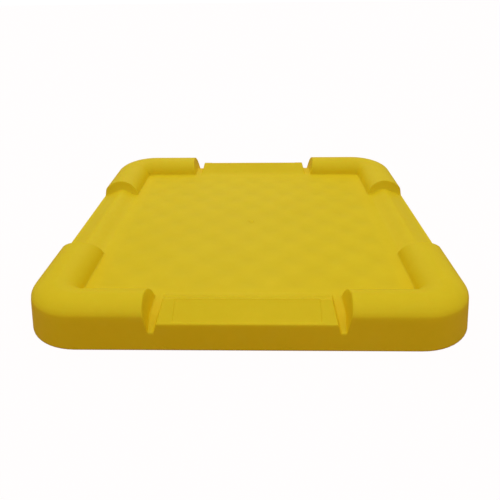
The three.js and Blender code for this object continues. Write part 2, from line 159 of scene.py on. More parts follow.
def plane_height(start, end, t, wall):
    """Height at t of the straight face through two points, moved inwards by wall."""
    slope = (end[1] - start[1]) / (end[0] - start[0])
    return start[1] + (t - start[0]) * slope - wall * math.hypot(1.0, slope)


def end_height(gap, draft, along, wall, inwards=1.0):
    """Height of a drafted end face: it climbs as it leaves the gap (or, with -1, as it enters it)."""
    run, tilt = math.tan(math.radians(draft)), math.cos(math.radians(draft))
    return DECK + (inwards * (np.abs(along) - gap) - wall / tilt) / run


print("bolster at its crest:", round(float(section_height(BOLSTER, 693.0, 0.0)), 2))

# %% [markdown]
# ## One height for the whole rim
#
# The front and back are bolster, channel, block, channel, bolster; the sides are bolster, saddle,
# bolster. `along` says how far a place is from the middle of its side, and `t` how far out it is. The
# skirt is a steep plane that cuts everything off at the outside.

# %% The rim's height
def end_rim(along, t, wall):
    """Front and back: the channels' floor, with the block and the bolsters standing on it."""
    floor = soft_min(DECK - wall, plane_height(*CHANNEL, t, wall), CHANNEL_ROOT)
    rise = plane_height(BLOCK[0], BLOCK[1], t, wall)
    slope = plane_height(BLOCK[1], BLOCK[2], t, wall)
    inside = ramp_step(PANEL_END + wall - np.abs(along), 0.0, PANEL_EDGE)
    inside = inside * ramp_step(t, PANEL_NEAR - wall / 2, PANEL_EDGE)
    inside = inside * ramp_step(-t, -PANEL_FAR, PANEL_EDGE)
    block = soft_min(rise, slope, BLOCK_RIDGE) - PANEL_DEEP * inside
    block = soft_min(block, end_height(BLOCK_END, BLOCK_DRAFT, along, wall, -1.0), BLOCK_EDGE)
    bolster = section_height(BOLSTER, t, wall)
    bolster = soft_min(bolster, end_height(END_GAP, END_DRAFT, along, wall), END_EDGE)
    return soft_max(soft_max(floor, block, RAIL_CREASE), bolster, BOLSTER_CREASE)


def side_rim(along, t, wall):
    """Left and right: the saddle, with the bolsters standing on it."""
    saddle = soft_max(section_height(SADDLE, t, wall), DECK - wall, SADDLE_ROOT)
    saddle = np.where(t < SADDLE[0][0], DECK - wall, saddle)
    bolster = section_height(BOLSTER, t, wall)
    bolster = soft_min(bolster, end_height(SIDE_GAP, SIDE_DRAFT, along, wall), SIDE_EDGE)
    return soft_max(saddle, bolster, BOLSTER_CREASE)


def rim_height(along, t, is_end, wall=0.0):
    """Height of the moulding at (along, t); wall = 0 is its outside, wall = WALL its inside."""
    top = np.where(is_end, end_rim(along, t, wall), side_rim(along, t, wall))
    skirt = plane_height(SKIRT_TOP, (HALF, 0.0), t, wall)
    return soft_min(top, skirt, SKIRT_EDGE)


def skirt_foot(wall):
    """How far out the skirt reaches at the floor, on its outside or inside."""
    return HALF - wall * math.hypot(1.0, SKIRT_DRAFT)


probe = rim_height(np.array([0.0, 320.0, 585.0]), np.array([692.0, 700.0, 693.0]), True)
print("block crest, channel, bolster crest:", probe.round(1))

# %% [markdown]
# ## Making a mesh from grids
#
# Every surface is a grid of points, or several grids that share their edges. The helper below merges
# points on the same spot, which closes seams and turns a grid's collapsed edge into a pole, drops
# faces that have collapsed with it, and makes one smooth-shaded object.

# %% Grid to mesh
SAME = 0.001                           # points closer than this are one point


def grid_faces(rows, columns, offset=0, wrap=False):
    """Quads of a rows x columns grid of points; with wrap, the last row joins the first."""
    index = np.arange(rows * columns).reshape(rows, columns) + offset
    if wrap:
        index = np.vstack([index, index[:1]])
    return np.stack([index[:-1, :-1], index[1:, :-1], index[1:, 1:], index[:-1, 1:]], -1).reshape(-1, 4)


def make_piece(name, points, quads, flat_faces=(), smooth_angle=None):
    """One object from points in millimetres and quads; equal points are merged, flat n-gons added."""
    points = np.asarray(points, float).reshape(-1, 3)
    _, first, same = np.unique(np.round(points / SAME).astype(np.int64), axis=0,
                               return_index=True, return_inverse=True)
    same = same.ravel()
    quads = same[np.asarray(quads)]
    shifted = np.roll(quads, -1, axis=1)
    repeats = (quads == shifted).sum(1)
    whole = quads[repeats == 0].tolist()
    # A quad with one collapsed edge keeps the three corners that differ from the corner after them.
    pinched = quads[repeats == 1]
    three = pinched[pinched != shifted[repeats == 1]].reshape(-1, 3)
    three = three[(three[:, 0] != three[:, 2])].tolist()
    rings = []
    for face in flat_faces:
        ring = same[np.asarray(face)]
        rings.append(ring[ring != np.roll(ring, -1)].tolist())
    mesh = bpy.data.meshes.new(name)
    mesh.from_pydata((points[first] * MM).tolist(), [], whole + three + rings)
    mesh.validate()
    mesh.shade_smooth()
    piece = bpy.data.objects.new(name, mesh)
    bpy.context.scene.collection.objects.link(piece)
    if smooth_angle is not None:
        mesh.set_sharp_from_angle(angle=math.radians(smooth_angle))
    body = bmesh.new()
    body.from_mesh(mesh)
    loose = sum(not edge.is_manifold for edge in body.edges)
    volume = body.calc_volume(signed=True) * 1e6
    print(f"{name}: {len(body.faces)} faces, {loose} open edges, {volume:.1f} cm3")
    body.free()
    return piece


print("a 3 x 4 grid has", len(grid_faces(3, 4)), "quads")

# %% [markdown]
# ## Where the grid lines go
#
# Lines are packed tightly where the height changes quickly, and spread out where the moulding is
# flat. The same lines run across the field and out over the rim, so the two meet point for point.

# %% Grid lines
def packed_lines(*stretches):
    """Values from (start, end, step) stretches, each divided evenly, joined without repeats."""
    runs = [np.linspace(a, b, max(int(round((b - a) / step)), 1) + 1) for a, b, step in stretches]
    return np.unique(np.round(np.concatenate(runs), 2))


def both_sides(lines):
    """The same lines mirrored about zero."""
    return np.unique(np.concatenate([-lines, lines]))


end_lines = both_sides(packed_lines(
    (0, 39, 13), (39, 48, 1.5), (48, 243, 13), (243, 253, 1.7), (253, 286, 11),
    (286, 312, 1.8), (312, 330, 4.5), (330, 364, 1.7), (364, 380, 4), (380, ARM, 13.7)))
side_lines = both_sides(packed_lines(
    (0, 39, 13), (39, 299, 13), (299, 345, 1.7), (345, ARM, 13.4)))
out_lines = packed_lines(
    (ARM, 603, 9), (603, 611, 4), (611, 626, 1.7), (626, 650, 3.5), (650, 684, 7), (684, 694, 2.5),
    (694, 701, 1.2), (704, 722, 9), (722, 730, 2.7), (730, 768, 7.6), (768, 790, 1.2))
print("lines:", len(end_lines), "along the ends,", len(side_lines), "along the sides,",
      len(out_lines), "outwards, before the skirt")

# %% [markdown]
# ## Walking around the rim
#
# The rim is a section carried along a path: a square whose corners are quarter circles. At the corner
# all the section's inner ends meet in one point, the centre of the arc, so the grid closes there in a
# small fan on the flat deck, where it can't be seen.

# %% The path around the pallet
def path_around(arm, end_lines, side_lines, arc_steps):
    """The lines that a section is carried along, counter-clockwise from the front left.

    Gives, for each line, its start on the square of half width arm, its direction outwards, its
    distance from the middle of its side, whether it is at the front or back, and its number.
    """
    starts, outwards, alongs, flags, numbers = [], [], [], [], []
    for turn in range(4):
        quarter = turn * math.pi / 2
        is_end = turn % 2 == 0
        lines = end_lines if is_end else side_lines
        out = np.round([math.sin(quarter), -math.cos(quarter)])
        side = np.round([math.cos(quarter), math.sin(quarter)])
        angle = quarter + np.linspace(0, math.pi / 2, arc_steps + 1)[1:-1]
        starts += [out * arm + lines[:, None] * side, np.tile((out + side) * arm, (arc_steps - 1, 1))]
        outwards += [np.tile(out, (len(lines), 1)), np.stack([np.sin(angle), -np.cos(angle)], 1)]
        alongs += [lines, np.full(arc_steps - 1, arm)]
        flags += [np.full(len(lines) + arc_steps - 1, is_end)]
        numbers += [np.arange(len(lines)), np.full(arc_steps - 1, -1)]
    return [np.concatenate(values) for values in (starts, outwards, alongs, flags, numbers)]


path_start, path_out, path_along, path_is_end, _ = path_around(ARM, end_lines, side_lines, 14)
print("the path has", len(path_start), "lines")

# %% [markdown]
# ## A round thing in a square cell
#
# The vent, the cones, the post bosses and the drain's bore are round things in square grids. Each
# gets a square cell with evenly spaced points on its edge, and rings of as many points lead from the
# square to circles. Neighbouring cells share their edge points, so nothing leaks.

# %% Square to round
def cell_edge(half, per_side):
    """Points around a square, counter-clockwise from its lower left corner, per_side to a side."""
    s = np.linspace(-half, half, per_side + 1)[:-1]
    fixed = np.full_like(s, half)
    return np.stack([np.concatenate([s, fixed, -s, -fixed]), np.concatenate([-fixed, s, fixed, -s])], 1)


def round_cell(half, per_side, rings):
    """Points (around, ring, xyz): each ring is (radius, height), and a radius of None is the square."""
    edge = cell_edge(half, per_side)
    direction = edge / np.hypot(edge[:, 0], edge[:, 1])[:, None]
    layers = [np.column_stack([edge if radius is None else direction * radius,
                               np.full(len(edge), height)]) for radius, height in rings]
    return np.stack(layers, 1)


def cell_faces(cell, offset=0):
    """Quads of a round cell, facing up when its rings lead inwards."""
    return grid_faces(cell.shape[0], cell.shape[1], offset, wrap=True)


def repeated(points, quads, places):
    """One cell's points and quads set down at every place, as two whole arrays."""
    flat = points.reshape(-1, 3)
    copies = flat[None] + places[:, None, :]
    shifts = np.arange(len(places))[:, None, None] * len(flat)
    return copies.reshape(-1, 3), (quads[None] + shifts).reshape(-1, 4)


print("a cell with six points to a side has", len(cell_edge(10.0, 6)), "points around")

# %% [markdown]
# ## The marks in the deck field
#
# Cones of the lower wall are fused to the upper one, and as the plastic cools each fused spot draws it
# down a little. That leaves a regular, staggered field of very soft dimples: bell-shaped dips with no
# edge. The broad waves of a cooled sheet are a few slow sines.

# %% Height of the deck field
MARK_DEPTH, MARK_WIDTH = 2.6, 34.0
WAVE = 0.5


def deck_dip(x, y):
    """How far the field sinks at (x, y): a bell around the nearest crossing of a staggered lattice."""
    reach = (MARK_ROWS - 1) / 2
    dip = 0.0
    for shift in (0.0, 1.0):
        column = 2 * np.round((x / MARK_STEP - shift) / 2) + shift
        row = 2 * np.round((y / MARK_STEP - shift) / 2) + shift
        apart = np.hypot(x - column * MARK_STEP, y - row * MARK_STEP)
        inside = (np.abs(column) <= reach) & (np.abs(row) <= reach)
        # In the very middle the vent takes the place of a cone, and the sheet sinks half as far.
        depth = np.where((column == 0) & (row == 0), MARK_DEPTH / 2, MARK_DEPTH)
        dip = dip + depth * np.exp(-((apart / MARK_WIDTH) ** 2)) * inside
    fade = np.clip((ARM - np.maximum(np.abs(x), np.abs(y))) / 60.0, 0.0, 1.0)
    wave = np.sin(x / 171.0 + 0.6) * np.cos(y / 139.0) + 0.6 * np.sin((x + y) / 97.0)
    return dip + WAVE * (1 + wave) * fade * fade


print("at a mark:", round(float(deck_dip(np.array([MARK_STEP]), np.array([MARK_STEP]))[0]), 2), "mm")

# %% [markdown]
# ## The deck moulding
#
# Outside: the rim's grid and the field's grid share the square where they meet, and the rim goes on
# down the skirt to the floor. Inside: the same height function less the wall's thickness, on coarser
# lines, closed by a flat ceiling that is joined to the vent hole. A narrow strip at the floor joins
# the two, so the moulding is one closed body with a real wall. At the back every skirt point under the
# small arch over the drain is lifted onto the arch's edge.

# %% Build the deck moulding
def arch_height(out, along):
    """How high the skirt's lower edge is at each line of the path: zero except over the drain."""
    at_back = out[:, 1] > 0.99
    rise = (ARCH_FOOT - np.abs(along)) / (ARCH_FOOT - ARCH_HEAD) * ARCH_TOP
    return np.where(at_back, np.maximum(soft_min(rise, np.full_like(rise, ARCH_TOP), 6.0), 0.0), 0.0)


def rim_grid(lines, wall):
    """Points of the rim at every line of the path and every distance in lines, with the given wall."""
    t = np.broadcast_to(lines, (len(path_start), len(lines)))
    along = np.broadcast_to(path_along[:, None], t.shape)
    height = rim_height(along, t, path_is_end[:, None], wall)
    # Under the arch a point slides up the drafted skirt to the arch's edge.
    edge = arch_height(path_out, path_along)[:, None]
    t = np.where(height < edge, skirt_foot(wall) - edge * SKIRT_DRAFT, t)
    height = np.maximum(height, edge)
    plan = path_start[:, None, :] + path_out[:, None, :] * (t - ARM)[:, :, None]
    return np.concatenate([plan, height[:, :, None]], -1)


VENT_CELL = 39.0
VENT_SINK = 3.3
VENT_SEAT = ((None, DECK), (30.0, DECK), (20.0, DECK), (14.6, DECK), (13.2, DECK - 0.4),
             (12.6, DECK - 1.2), (12.5, DECK - VENT_SINK), (5.3, DECK - VENT_SINK), (5.3, DECK - WALL))


def deck_moulding():
    """The whole upper moulding as one closed piece."""
    skirt_lines = np.linspace(790, HALF, 17)[1:]
    outer_lines = np.concatenate([out_lines, skirt_lines])
    outer = rim_grid(outer_lines, 0.0)
    on_field = outer_lines < BOLSTER[0][0]
    outer[:, on_field, 2] -= deck_dip(outer[:, on_field, 0], outer[:, on_field, 1])

    inner_lines = packed_lines((ARM, 612, 27), (612, 640, 4.7), (640, 690, 12), (690, 760, 14),
                               (760, skirt_foot(WALL), 4.3))
    inner = rim_grid(inner_lines[::-1], WALL)
    ring = np.concatenate([outer, inner], 1)
    count, across = ring.shape[:2]

    x, y = np.meshgrid(end_lines, side_lines, indexing="ij")
    field = np.stack([x, y, DECK - deck_dip(x, y)], -1)
    in_x = np.abs(end_lines[:-1] + end_lines[1:]) / 2 < VENT_CELL
    in_y = np.abs(side_lines[:-1] + side_lines[1:]) / 2 < VENT_CELL
    kept = ~(in_x[:, None] & in_y[None, :]).ravel()

    seat = round_cell(VENT_CELL, 6, VENT_SEAT)
    on_top = seat[..., 2] > DECK - 2
    seat[..., 2] -= np.where(on_top, deck_dip(seat[..., 0], seat[..., 1]), 0.0)

    # Under the deck each line of the path is joined to the nearest point of the vent hole.
    field_at = count * across
    seat_at = field_at + x.size
    hole = seat_at + np.arange(seat.shape[0]) * seat.shape[1] + seat.shape[1] - 1
    around = np.arctan2(path_start[:, 1], path_start[:, 0])
    hole_around = np.arctan2(seat[:, 0, 1], seat[:, 0, 0])
    nearest = hole[np.argmax(np.cos(around[:, None] - hole_around[None, :]), axis=1)]
    edge = np.arange(count) * across + across - 1
    ceiling = np.stack([nearest, np.roll(nearest, -1), np.roll(edge, -1), edge], 1)

    points = np.concatenate([ring.reshape(-1, 3), field.reshape(-1, 3), seat.reshape(-1, 3)])
    quads = np.concatenate([grid_faces(count, across, 0, wrap=True)[:, ::-1],
                            grid_faces(len(end_lines), len(side_lines), field_at)[kept],
                            cell_faces(seat, seat_at), ceiling])
    return make_piece("deck_shell", points, quads)


deck_shell = deck_moulding()
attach(deck_shell, "deck")
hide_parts("deck_top_sheet")

# %% [markdown]
# ## The deck's lower wall
#
# The second wall is a sheet with hollow cones. Each cone sits in a square cell; the squares between
# them are plain. Around the cells one strip runs out to the sheet's edge, and four notches in it clear
# the ramps of the channels.

# %% Build the lower wall
SHEET_LOW, SHEET_TOP, CONE_TOP = under_low[2], under_low[2] + 4.0, under_high[2]
SHEET_HALF = under_high[0]
NOTCH_FROM, NOTCH_TO, NOTCH_DEEP = 290.0, 348.0, 734.0


def lower_wall():
    """Cells with cones, cells without, and the strip around them, above and below, as one body."""
    half = MARK_STEP / 2
    reach = (MARK_ROWS - 1) // 2
    column, row = (a.ravel() for a in np.mgrid[-reach:reach + 1, -reach:reach + 1])
    has_cone = ((column + row) % 2 == 0) & ((column != 0) | (row != 0))
    places = np.stack([column, row, 0 * row], 1) * MARK_STEP
    cone = round_cell(half, 6, (
        (None, SHEET_TOP), (31, SHEET_TOP), (26, SHEET_TOP + 0.2), (24, SHEET_TOP + 1.6),
        (14, CONE_TOP - 1.6), (12.8, CONE_TOP - 0.3), (11, CONE_TOP), (0, CONE_TOP)))
    pit = round_cell(half, 6, (
        (None, SHEET_LOW), (30, SHEET_LOW), (22.6, SHEET_LOW), (21, SHEET_LOW + 1.2),
        (10, CONE_TOP - 5.4), (8.6, CONE_TOP - 4.2), (0, CONE_TOP - 4)))
    line = np.linspace(-half, half, 7)
    x, y = np.meshgrid(line, line, indexing="ij")
    plain = np.stack([x, y, 0 * x], -1)
    plain_faces = grid_faces(7, 7)

    # A notch's edge is two lines at one place: one runs out to the sheet's edge, one stops short.
    spaced = np.arange(-39, 40) * MARK_STEP / 6
    away = np.abs(spaced)
    long_lines = spaced[(away <= NOTCH_FROM) | (away >= NOTCH_TO)]
    short_lines = spaced[(away >= NOTCH_FROM) & (away <= NOTCH_TO)]
    middle = np.sign(short_lines) * (NOTCH_FROM + NOTCH_TO) / 2
    order = np.argsort(np.concatenate([long_lines, short_lines + 0.01 * np.sign(middle - short_lines)]))
    lines = np.concatenate([long_lines, short_lines])[order]
    is_short = (np.arange(len(lines)) >= len(long_lines))[order]

    arm = spaced[-1]
    start, out, _, is_end, number = path_around(arm, lines, lines, 14)
    limit = np.where(is_end & (number >= 0) & is_short[number], NOTCH_DEEP, SHEET_HALF)
    strip = np.array([(arm, SHEET_TOP), (650, SHEET_TOP), (NOTCH_DEEP, SHEET_TOP),
                      (SHEET_HALF - 1, SHEET_TOP), (SHEET_HALF, SHEET_TOP - 1), (SHEET_HALF, SHEET_LOW + 1),
                      (SHEET_HALF - 1, SHEET_LOW), (NOTCH_DEEP, SHEET_LOW), (650, SHEET_LOW),
                      (arm, SHEET_LOW)])
    t = np.minimum(strip[:, 0][None, :], limit[:, None])
    plan = start[:, None, :] + out[:, None, :] * (t - arm)[:, :, None]
    band = np.concatenate([plan, np.broadcast_to(strip[:, 1], t.shape)[:, :, None]], -1)

    parts = [repeated(cone, cell_faces(cone), places[has_cone]),
             repeated(pit, cell_faces(pit)[:, ::-1], places[has_cone]),
             repeated(plain + [0, 0, SHEET_TOP], plain_faces, places[~has_cone]),
             repeated(plain + [0, 0, SHEET_LOW], plain_faces[:, ::-1], places[~has_cone]),
             (band.reshape(-1, 3), grid_faces(len(start), len(strip), 0, wrap=True)[:, ::-1])]
    shift = np.cumsum([0] + [len(points) for points, _ in parts])
    return make_piece("deck_lower_wall", np.concatenate([points for points, _ in parts]),
                      np.concatenate([quads + at for (_, quads), at in zip(parts, shift)]), smooth_angle=35)


deck_lower_wall = lower_wall()
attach(deck_lower_wall, "deck")
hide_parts("deck_lower_sheet")

# %% [markdown]
# ## The sump
#
# The sump is a shallow tray with drafted walls, a flanged rim, and a low boss for each support post.
# The floor is 16 cells with a boss in each, and the wall is one section carried around a rounded
# square. At the back it thickens into a pad with square faces, because a nut and a flange only seal on
# a flat seat; the drain's bore is a round cell that leads through that pad.

# %% Build the sump
SUMP_ARM, SUMP_CELLS, SUMP_STEP = 568.0, 660.0, 33.0
SUMP_WALL_FOOT, SUMP_WALL_HEAD, SUMP_THICK = 718.0, 742.0, 5.0
basin_high = np.array(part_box("sump_basin")[1]) / MM
SUMP_RIM, SUMP_TOP = basin_high[0], basin_high[2]
DRAIN_Z = mounts["drain_plug_face"]["pos_m"][2] / MM
PAD_HALF, PAD_IN, PAD_OUT = 29.0, 710.0, 742.0
BORE_CELL, BORE = 18.0, 14.3
POSTS = np.array([-495.0, -165.0, 165.0, 495.0])


def sump_tray():
    """Boss cells, the wall's section around them, and the bored pad, as one closed body."""
    lean = (SUMP_WALL_HEAD - SUMP_WALL_FOOT) / SUMP_TOP
    bore_z = DRAIN_Z + np.linspace(-BORE_CELL, BORE_CELL, 7)
    rise = np.concatenate([bore_z, [DRAIN_Z + 24, SUMP_TOP - 2.2]])
    inside = [(SUMP_WALL_FOOT - SUMP_THICK + lean * z, z) for z in rise]
    outside = [(SUMP_WALL_FOOT + lean * z, z) for z in rise[-2::-1]]
    lip = SUMP_WALL_HEAD - SUMP_THICK
    wall = np.array([(SUMP_CELLS, 5), (690, 5), (705, 5), (711.8, 6.4), (715.4, 9.6), *inside,
                     (lip + 0.4, SUMP_TOP - 0.7), (lip + 1.6, SUMP_TOP), (745, SUMP_TOP),
                     (SUMP_RIM - 1.4, SUMP_TOP), (SUMP_RIM, SUMP_TOP - 1.4), (SUMP_RIM, SUMP_TOP - 3.8),
                     (SUMP_RIM - 1.2, SUMP_TOP - 5), (748, SUMP_TOP - 5), (743, SUMP_TOP - 6), *outside,
                     (719.9, 4.4), (718.4, 1.4), (716, 0)])
    pad = wall.copy()
    climbs = slice(3, 5 + len(rise))
    pad[1:3, 0] = (690, 704)
    pad[climbs, 0] = PAD_IN
    pad[3, :] = (PAD_IN - 2, 5)
    pad[4, :] = (PAD_IN, 7)
    drops = slice(len(wall) - 3 - len(outside), len(wall) - 3)
    pad[drops, 0] = PAD_OUT
    pad[-3], pad[-2] = (PAD_OUT, 6.0), (PAD_OUT - 1.5, 4.0)

    # Lines every 33 mm, and at the pad's edges two lines at one place, one of each section.
    near = np.linspace(-BORE_CELL, BORE_CELL, 7)
    regular = np.arange(-17, 18) * SUMP_STEP
    ends = [-SUMP_ARM, SUMP_ARM, -PAD_HALF, PAD_HALF]
    plain = np.concatenate([regular[np.abs(regular) > PAD_HALF], ends])
    padded = np.concatenate([near, [-PAD_HALF, PAD_HALF]])
    nudged = np.concatenate([plain, padded * 0.999])
    order = np.argsort(nudged)
    lines = np.concatenate([plain, padded])[order]
    is_pad = (np.arange(len(lines)) >= len(plain))[order]

    start, out, _, _, number = path_around(SUMP_ARM, lines, lines, 16)
    at_back = (out[:, 1] > 0.99) & (number >= 0)
    section = np.where((at_back & is_pad[number])[:, None, None], pad[None], wall[None])
    plan = start[:, None, :] + out[:, None, :] * (section[:, :, 0] - SUMP_ARM)[:, :, None]
    band = np.concatenate([plan, section[:, :, 1:]], -1)
    # The inner ends are drawn onto the nearest points of the chessboard of cells.
    band[:, 0, :2] = np.clip(np.round(band[:, 1, :2] / SUMP_STEP) * SUMP_STEP, -SUMP_CELLS, SUMP_CELLS)
    count, across = band.shape[:2]

    # Faces inside the drain's square window, on both faces of the pad, make way for the bore.
    x_in = at_back & (np.abs(start[:, 0]) <= BORE_CELL + 0.01)
    z_in = np.abs(wall[:, 1] - DRAIN_Z) <= BORE_CELL + 0.01
    cut = (x_in & np.roll(x_in, -1))[:, None] & (z_in[:-1] & z_in[1:])[None, :]
    sides = grid_faces(count, across, 0, wrap=True)[~cut.ravel()][:, ::-1]

    boss = round_cell(SUMP_CELLS / 4, 10, (
        (None, 5), (80, 5), (47, 5), (44.6, 5.4), (43.9, 6.8), (43.2, 11), (42.4, 11.8), (41, 12), (0, 12)))
    x, y = (a.ravel() for a in np.meshgrid(POSTS, POSTS))
    bosses, boss_faces = repeated(boss, cell_faces(boss), np.stack([x, y, 0 * x], 1))

    # The cell lies on its side: its own x, y and height become -x, z and y of the pallet.
    bore = round_cell(BORE_CELL, 6, ((None, PAD_OUT), (15.2, PAD_OUT), (BORE, PAD_OUT - 0.9),
                                     (BORE, PAD_IN + 0.9), (15.2, PAD_IN), (None, PAD_IN)))
    bore = np.stack([-bore[..., 0], bore[..., 2], bore[..., 1] + DRAIN_Z], -1)

    points = np.concatenate([band.reshape(-1, 3), bosses, bore.reshape(-1, 3)])
    quads = np.concatenate([sides, boss_faces + count * across,
                            cell_faces(bore, count * across + len(bosses))])
    underside = (np.arange(count) * across + across - 1)[::-1]
    return make_piece("sump_tray", points, quads, [underside], smooth_angle=40)


sump = sump_tray()
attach(sump, "sump")
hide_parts("sump_basin")

# %% [markdown]
# ## Turned pieces
#
# The posts, the drain and the plugs are turned: a closed outline in radius and height, carried around
# an axis. For nuts and threads the radius also depends on the angle.

# %% Turning an outline
def rounded(outline, size):
    """The outline with each corner replaced by a quadratic curve that starts `size` away from it."""
    corner = np.array(outline, float)
    back, ahead = np.roll(corner, 1, axis=0) - corner, np.roll(corner, -1, axis=0) - corner
    reach = np.broadcast_to(np.asarray(size, float), len(corner))[:, None]
    first = corner + back / np.hypot(*back.T)[:, None] * reach
    last = corner + ahead / np.hypot(*ahead.T)[:, None] * reach
    s = np.linspace(0, 1, 4)[None, :, None]
    curve = (1 - s) ** 2 * first[:, None] + 2 * s * (1 - s) * corner[:, None] + s ** 2 * last[:, None]
    return curve.reshape(-1, 2)


def turned(name, outline, steps, centre=(0, 0, 0), along_y=False, shape=None):
    """The outline turned around an axis through centre; shape(angle, radius, height) bends the radius."""
    loop = np.vstack([outline, outline[:1]])
    angle = np.linspace(0, 2 * math.pi, steps, endpoint=False)[:, None]
    radius = np.broadcast_to(loop[:, 0], (steps, len(loop)))
    height = np.broadcast_to(loop[:, 1], (steps, len(loop)))
    if shape is not None:
        radius = shape(angle, radius, height)
    x, y = radius * np.cos(angle), radius * np.sin(angle)
    points = np.stack([x, height, -y] if along_y else [x, y, height], -1) + np.array(centre)
    return make_piece(name, points, grid_faces(steps, len(loop), 0, wrap=True), smooth_angle=42)


print("a rounded square has", len(rounded([(0, 0), (1, 0), (1, 1), (0, 1)], 0.1)), "points")

# %% [markdown]
# ## Support posts
#
# A short thick tube stands loosely around each boss and carries the deck's lower wall. Its foot flares
# out to spread the load on the sump's floor.

# %% Build the posts
def post_outline(low, high):
    """Outer foot, flare, tube, and back down the bore, counter-clockwise in radius and height."""
    return rounded([(47, low), (59, low), (59, low + 4), (55, low + 9), (55, high), (47, high)],
                   [1.0, 0.8, 0.8, 2.0, 1.6, 1.6])


posts = []
for row, y in enumerate(POSTS, start=1):
    for column, x in enumerate(POSTS, start=1):
        node = f"support_post_r{row}_c{column}"
        post_low, post_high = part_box(node)
        outline = post_outline(post_low[2] / MM, post_high[2] / MM)
        post = turned(f"post_r{row}_c{column}", outline, 48, (x, y, 0))
        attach(post, "sump")
        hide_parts(node)
        posts.append(post)
print(len(posts), "posts")

# %% [markdown]
# ## The drain
#
# A threaded fitting goes through the pad from outside, with a flat gasket under its flange, and a
# hexagonal nut clamps it from inside. A hexagonal plug with a round seal ring screws into its bore.
# The thread's pitch is read from the model's own coupling of turn and travel, so the ridges really
# are as steep as the motion says.

# %% Build the drain
seat_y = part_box("drain_gasket")[0][1] / MM - 0.3
DRAIN_AT = (0.0, seat_y, DRAIN_Z)
coupling = frame["record"]["behaviour"]["couplings"][0]
PITCH_MM = coupling["ratio"] * 2 * math.pi / MM
THREAD_DEEP, NUT_CORNER, PLUG_CORNER, SHANK = 0.5, 24.0, 17.0, 9.7


def span(node):
    """Where a piece of the drain starts and ends along the drain's axis, outwards from the seat."""
    low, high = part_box(node)
    return low[1] / MM - seat_y, high[1] / MM - seat_y


def threaded(low, high, depth):
    """A shape that cuts a screw thread into the radius between two heights.

    The ridge's place runs up by one pitch for each full turn; it fades out at both ends.
    """
    def shape(angle, radius, height):
        turn = (height / PITCH_MM - angle / (2 * math.pi)) % 1.0
        ridge = np.abs(turn - 0.5) * 2
        fade = np.clip((height - low) / 2, 0, 1) * np.clip((high - height) / 2, 0, 1)
        return radius - depth * ridge * fade * (radius > 0)
    return shape


def hexagonal(corner, low, high, chamfer):
    """A shape that trims the radius to a hexagon, and to a cone towards both faces."""
    def shape(angle, radius, height):
        sector = (angle + math.pi / 6) % (math.pi / 3) - math.pi / 6
        flat = corner * math.cos(math.pi / 6) / np.cos(math.pi / 6 - np.abs(sector))
        cone = corner - chamfer + 1.8 * np.minimum(height - low, high - height)
        outer = soft_min(flat, np.maximum(cone, 0), 0.5)
        return np.where(radius >= corner - 0.01, outer, radius)
    return shape


def stretch(start, end, radius, step):
    """Evenly spaced points of an outline at one radius."""
    heights = np.linspace(start, end, max(int(abs(end - start) / step), 1) + 1)
    return [(radius, float(height)) for height in heights]


body_in, body_out = span("drain_body")
flange_in = body_out - 4.0
barrel = stretch(body_in + 1.0, flange_in - 3.0, 14.0, PITCH_MM / 6)
bore_wall = stretch(body_out - 0.8, body_in + 0.8, 10.0, 2.0)
fitting_outline = np.array([(10.8, body_in), (13.2, body_in), *barrel, (14.0, flange_in),
                            (21.4, flange_in), (22.0, flange_in + 0.6), (22.0, body_out - 1.2),
                            (21.2, body_out - 0.2), (20.4, body_out), (10.8, body_out), *bore_wall])
barrel_thread = threaded(body_in + 1, flange_in - 3, THREAD_DEEP)
drain_fitting = turned("drain_fitting", fitting_outline, 72, DRAIN_AT, True,
                       lambda a, r, h: np.where(r > 13.9, barrel_thread(a, r, h), r))

gasket_in, gasket_out = span("drain_gasket")
gasket_outline = [(14.3, gasket_in), (22, gasket_in), (22, gasket_out), (14.3, gasket_out)]
drain_gasket = turned("gasket", rounded(gasket_outline, 0.5), 64, DRAIN_AT, True)

nut_in, nut_out = span("drain_locknut")
nut_outline = np.array([(15.0, nut_in), (20.0, nut_in), *stretch(nut_in, nut_out, NUT_CORNER, 0.4),
                        (20.0, nut_out), (15.0, nut_out), (14.3, nut_out - 0.7), (14.3, nut_in + 0.7)])
nut_hexagon = hexagonal(NUT_CORNER, nut_in, nut_out, 1.4)
drain_nut = turned("drain_nut", nut_outline, 96, DRAIN_AT, True, nut_hexagon)

ring_in, ring_out = span("drain_seal_ring")
cord = (ring_out - ring_in) / 2
turn = np.linspace(0, 2 * math.pi, 20, endpoint=False)
ring_outline = np.stack([12.2 + cord * np.cos(turn), (ring_in + ring_out) / 2 + cord * np.sin(turn)], 1)
seal_ring = turned("seal_ring", ring_outline, 72, DRAIN_AT, True)

shank_in, face_out = span("drain_plug")
head_in = face_out - 8.0
shank = stretch(shank_in + 1.0, head_in - 1.5, SHANK, PITCH_MM / 6)
plug_outline = np.array([(0, shank_in), (8.7, shank_in), *shank, (SHANK, head_in), (15.0, head_in),
                         *stretch(head_in, face_out, PLUG_CORNER, 0.4), (12.5, face_out),
                         (11.0, face_out - 0.2), (9.6, face_out - 1.8), (8.6, face_out - 2.2),
                         (0, face_out - 2.2)])
plug_hexagon = hexagonal(PLUG_CORNER, head_in, face_out, 1.6)
plug_thread = threaded(shank_in + 1, head_in - 1.5, THREAD_DEEP)


def plug_shape(angle, radius, height):
    """The thread on the shank and the hexagon on the head."""
    on_shank = (radius > SHANK - 0.1) & (radius < SHANK + 0.1) & (height < head_in)
    shape = np.where(on_shank, plug_thread(angle, radius, height), radius)
    return np.where(radius > PLUG_CORNER - 0.1, plug_hexagon(angle, radius, height), shape)


drain_plug = turned("plug", plug_outline, 96, DRAIN_AT, True, plug_shape)

